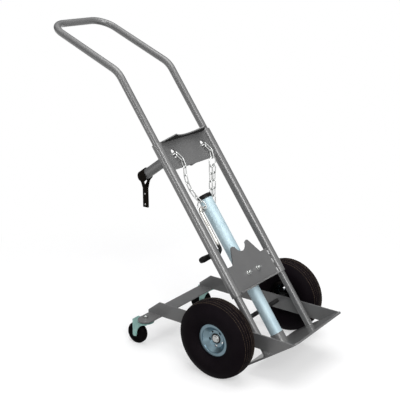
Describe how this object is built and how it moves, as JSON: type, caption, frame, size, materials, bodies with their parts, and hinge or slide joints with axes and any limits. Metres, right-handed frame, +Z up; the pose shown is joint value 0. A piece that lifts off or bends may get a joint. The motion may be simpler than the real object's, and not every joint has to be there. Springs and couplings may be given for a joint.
{
  "type": "gas cylinder trolley",
  "caption": "Leaning two-wheeled gas cylinder trolley with rear swivel castors, a bent tube handle, a jack-lifted sliding cradle and retaining chains.",
  "frame": {"origin": "on the floor, under the middle of the whole trolley", "axes": "+X across the trolley along the axle, +Y to the rear where the handle is, +Z up"},
  "size_m": [0.5098, 1.03, 1.0656],
  "materials": {
    "frame_paint": "mid-grey powder coat, semi-matte",
    "steel": "bare turned steel, lightly oiled",
    "zinc": "bright zinc plate",
    "zinc_blue": "blue passivated zinc plate",
    "bronze": "machined bronze",
    "black_plastic": "moulded, fine grain",
    "tyre": "black rubber with ribbed tread",
    "castor_rubber": "dark solid rubber",
    "strap_leather": "black, doubled and riveted"
  },
  "bodies": {
    "base": {"leg_left": "frame_paint", "leg_right": "frame_paint", "handle_bends": "frame_paint", "handle_hoop": "frame_paint", "toe_plate": "frame_paint", "arm_left": "frame_paint", "arm_right": "frame_paint", "rear_plate": "frame_paint", "axle": "steel", "axle_spacers": "steel", "axle_caps": "steel", "jack_socket": "frame_paint", "jack_inner_tube": "zinc", "jack_nut": "bronze", "castor_bolts": "zinc", "castor_races": "zinc"},
    "carriage": {"sleeve_left": "frame_paint", "sleeve_right": "frame_paint", "guide_bushes": "black_plastic", "upper_plate": "frame_paint", "lower_plate": "frame_paint", "peg_left": "frame_paint", "peg_right": "frame_paint", "peg_plugs": "black_plastic", "jack_outer_tube": "zinc", "jack_cap": "black_plastic", "jack_saddle": "steel", "u_bolt": "zinc", "u_bolt_nuts": "zinc", "crank_boss": "zinc", "chain_anchors": "frame_paint", "chain_left": "zinc", "chain_right": "zinc"},
    "spindle": {"jack_spindle": "steel"},
    "crank": {"crank_rod": "zinc"},
    "grip": {"crank_grip": "black_plastic"},
    "wheel_left": {"tyre_left": "tyre", "rim_left": "zinc", "hub_left": "steel", "bearings_left": "steel"},
    "wheel_right": {"tyre_right": "tyre", "rim_right": "zinc", "hub_right": "steel", "bearings_right": "steel"},
    "castor_left": {"fork_left": "zinc_blue", "castor_axle_left": "zinc"},
    "castor_right": {"fork_right": "zinc_blue", "castor_axle_right": "zinc"},
    "castor_roller_left": {"castor_wheel_left": "castor_rubber"},
    "castor_roller_right": {"castor_wheel_right": "castor_rubber"},
    "strap": {"strap": "strap_leather", "strap_rivets": "zinc"}
  },
  "joints": [
    {"name": "carriage_lift", "type": "slide", "parent": "base", "child": "carriage", "axis": [0, 0.5793, 0.8151], "range_m": [-0.085, 0.12]},
    {"name": "spindle_turn", "type": "hinge", "parent": "carriage", "child": "spindle", "pos_m": [0, -0.16419, 0.35426], "axis": [0, 0.5793, 0.8151], "continuous": true},
    {"name": "crank_turn", "type": "hinge", "parent": "carriage", "child": "crank", "pos_m": [0, -0.07614, 0.47816], "axis": [1, 0, 0], "range_deg": [0, 100]},
    {"name": "grip_spin", "type": "hinge", "parent": "crank", "child": "grip", "pos_m": [-0.08, -0.16535, 0.35263], "axis": [1, 0, 0], "continuous": true},
    {"name": "strap_swing", "type": "hinge", "parent": "carriage", "child": "strap", "pos_m": [-0.1315, 0.08791, 0.58731], "axis": [0, -0.8151, 0.5793], "range_deg": [-50, 50]},
    {"name": "wheel_left_spin", "type": "hinge", "parent": "base", "child": "wheel_left", "pos_m": [-0.213, -0.26351, 0.13], "axis": [1, 0, 0], "continuous": true},
    {"name": "castor_left_swivel", "type": "hinge", "parent": "base", "child": "castor_left", "pos_m": [-0.188, 0.05249, 0.09], "axis": [0, 0, 1], "continuous": true},
    {"name": "castor_left_roll", "type": "hinge", "parent": "castor_left", "child": "castor_roller_left", "pos_m": [-0.188, 0.09049, 0.0375], "axis": [1, 0, 0], "continuous": true},
    {"name": "wheel_right_spin", "type": "hinge", "parent": "base", "child": "wheel_right", "pos_m": [0.213, -0.26351, 0.13], "axis": [1, 0, 0], "continuous": true},
    {"name": "castor_right_swivel", "type": "hinge", "parent": "base", "child": "castor_right", "pos_m": [0.188, 0.05249, 0.09], "axis": [0, 0, 1], "continuous": true},
    {"name": "castor_right_roll", "type": "hinge", "parent": "castor_right", "child": "castor_roller_right", "pos_m": [0.16113, 0.07936, 0.0375], "axis": [0.7071, 0.7071, 0], "continuous": true}
  ],
  "couplings": [
    {"joint": "spindle_turn", "follows": "carriage_lift", "rad_per_m": 1047.2}
  ]
}
